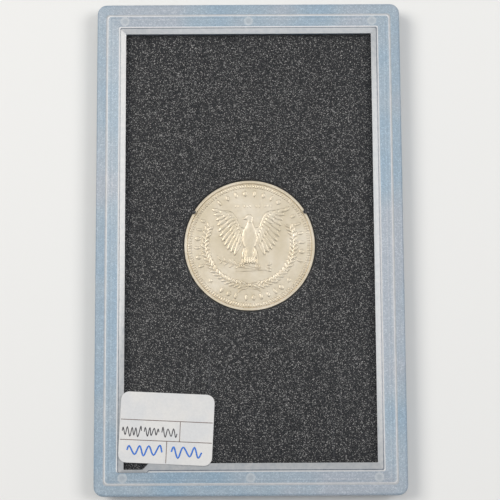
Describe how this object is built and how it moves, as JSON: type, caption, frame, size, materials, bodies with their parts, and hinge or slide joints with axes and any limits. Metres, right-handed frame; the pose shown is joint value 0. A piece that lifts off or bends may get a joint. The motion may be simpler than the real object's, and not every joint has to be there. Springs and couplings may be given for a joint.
{
  "type": "hard plastic coin holder",
  "caption": "Flat hard plastic holder of two press-together clear shells that show one large silver coin in a black insert.",
  "frame": {"origin": "centre of the front window's outer face, which is the face the holder rests on", "axes": "+Z from the front window to the rear window, +Y along the holder towards the end away from the label, +X across it"},
  "size_m": [0.089, 0.143, 0.0082],
  "materials": {
    "clear_shell": "clear window in a frosted frame",
    "black_insert": "fine grained matt black",
    "coin_silver": "struck silver with cartwheel lustre",
    "label_paper": "matt white paper with ruled lines"
  },
  "bodies": {
    "front_shell_body": {"front_shell": "clear_shell"},
    "insert_front_body": {"insert_front_plate": "black_insert"},
    "coin_body": {"coin": "coin_silver"},
    "insert_rear_body": {"insert_rear_plate": "black_insert"},
    "rear_shell_body": {"rear_shell": "clear_shell", "stock_label": "label_paper"}
  },
  "joints": [
    {"name": "insert_front_lift", "type": "slide", "parent": "front_shell_body", "child": "insert_front_body", "axis": [0, 0, 1], "range_m": [0, 0.01]},
    {"name": "coin_turn", "type": "hinge", "parent": "insert_front_body", "child": "coin_body", "pos_m": [0, 0, 0.004], "axis": [0, 0, 1], "continuous": true},
    {"name": "insert_rear_lift", "type": "slide", "parent": "insert_front_body", "child": "insert_rear_body", "axis": [0, 0, 1], "range_m": [0, 0.01]},
    {"name": "rear_shell_lift", "type": "slide", "parent": "insert_rear_body", "child": "rear_shell_body", "axis": [0, 0, 1], "range_m": [0, 0.015]}
  ]
}
